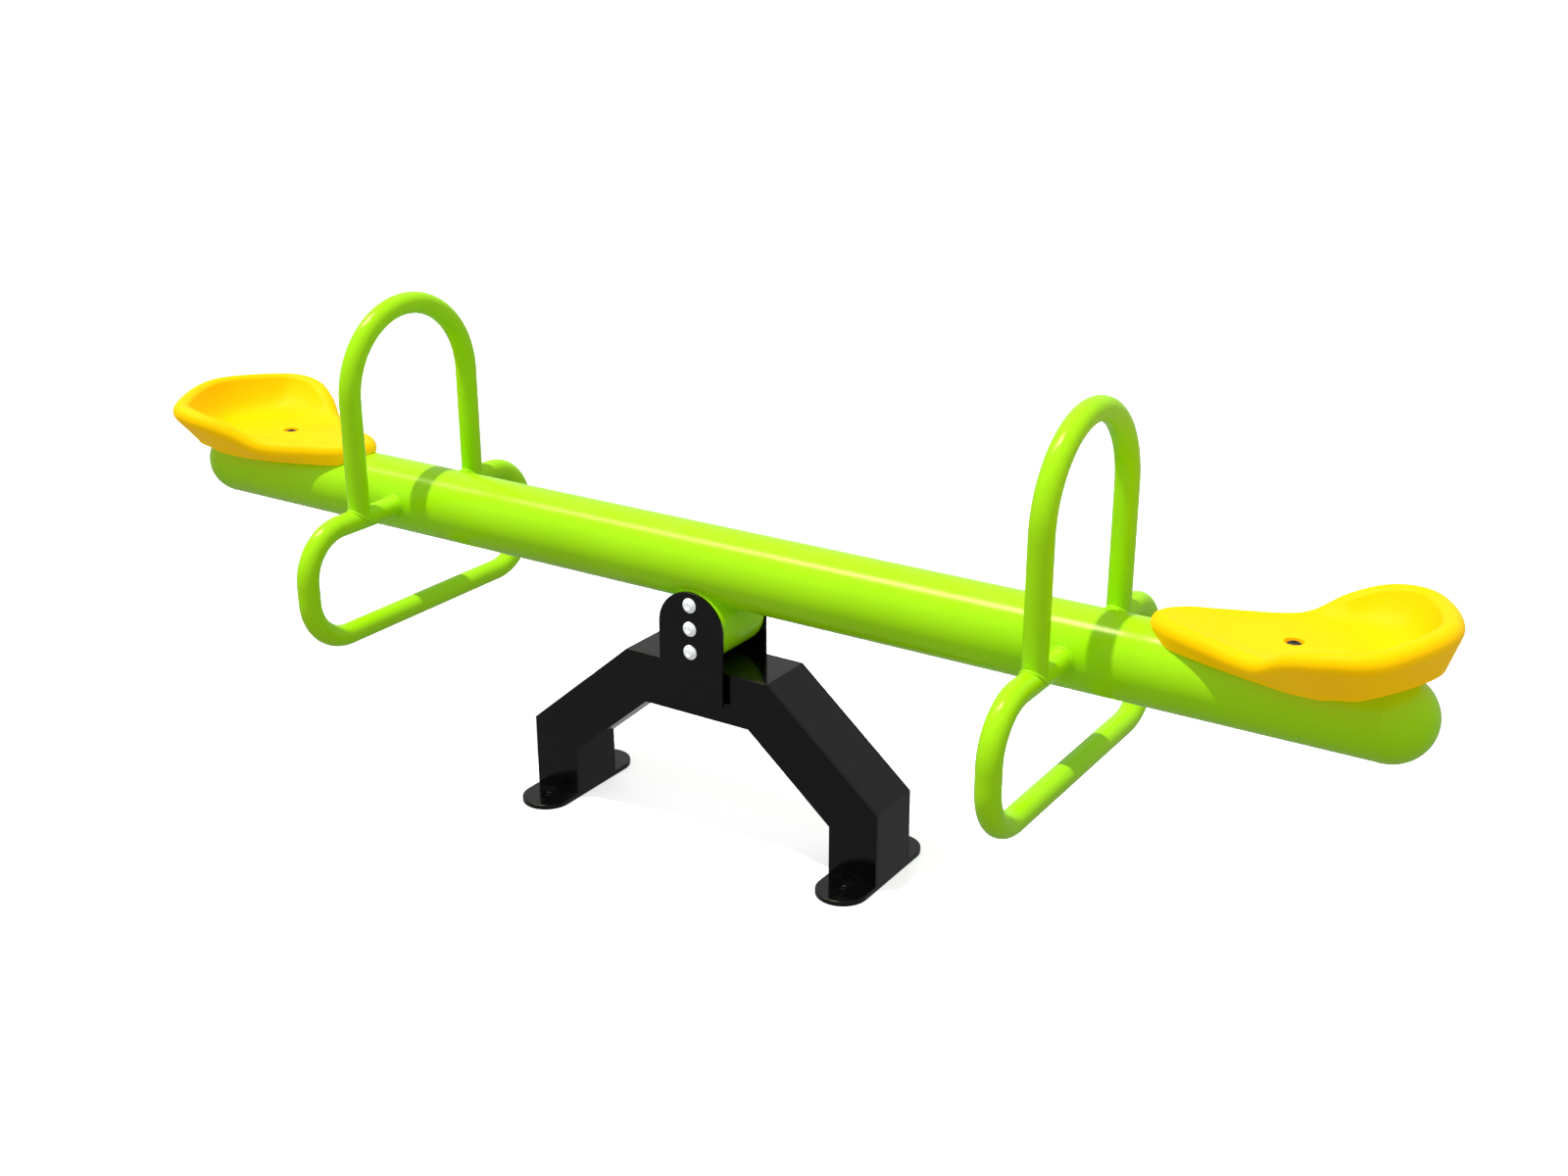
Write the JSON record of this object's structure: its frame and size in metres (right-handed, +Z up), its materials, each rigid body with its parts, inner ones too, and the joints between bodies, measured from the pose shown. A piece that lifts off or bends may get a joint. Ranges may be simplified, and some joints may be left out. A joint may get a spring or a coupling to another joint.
{
  "type": "seesaw",
  "caption": "Playground seesaw: a straight round beam with loop handles, foot rests and scooped seats, tilting on a rubber torsion pivot over an arched steel stand.",
  "frame": {"origin": "on the ground, midway between the two feet and straight below the pivot axis", "axes": "+X along the beam, +Y across it along the pivot axis, +Z up"},
  "size_m": [2.596, 0.654, 0.936],
  "materials": {
    "green_paint": "gloss",
    "black_paint": "gloss",
    "yellow_plastic": "satin",
    "bare_steel": "satin",
    "zinc": "bright",
    "dark_steel": "satin",
    "rubber": "matte",
    "nylon": "matte"
  },
  "bodies": {
    "stand": {"arch_plate_front": "black_paint", "arch_plate_rear": "black_paint", "cover_top": "black_paint", "cover_left": "black_paint", "cover_right": "black_paint", "soffit_top": "black_paint", "soffit_left": "black_paint", "soffit_right": "black_paint", "stiffener_left": "black_paint", "stiffener_right": "black_paint", "foot_plate_left": "black_paint", "foot_plate_right": "black_paint", "ear_packer_front": "black_paint", "ear_packer_rear": "black_paint", "ear_front": "black_paint", "ear_rear": "black_paint", "core_shaft": "bare_steel", "core_flange_front": "bare_steel", "core_flange_rear": "bare_steel", "stop_lug_front": "bare_steel", "stop_lug_rear": "bare_steel", "thrust_washer_front": "nylon", "thrust_washer_rear": "nylon", "ear_bolts": "zinc"},
    "beam": {"beam_tube": "green_paint", "end_cap_left": "green_paint", "end_cap_right": "green_paint", "pivot_tube": "green_paint", "bearing_tube": "bare_steel", "end_ring_front": "bare_steel", "end_ring_rear": "bare_steel", "rubber_bush_front": "rubber", "rubber_bush_rear": "rubber", "handle_left": "green_paint", "handle_right": "green_paint", "footrest_left": "green_paint", "footrest_right": "green_paint", "seat_bracket_left": "green_paint", "seat_bracket_right": "green_paint", "seat_left": "yellow_plastic", "seat_right": "yellow_plastic", "seat_bolts": "dark_steel", "seat_washers": "dark_steel", "seat_nuts": "zinc"}
  },
  "joints": [
    {"name": "tilt", "type": "hinge", "parent": "stand", "child": "beam", "pos_m": [0, 0, 0.423], "axis": [0, 1, 0], "range_deg": [-18, 18], "stiffness_Nm_per_rad": 350}
  ]
}
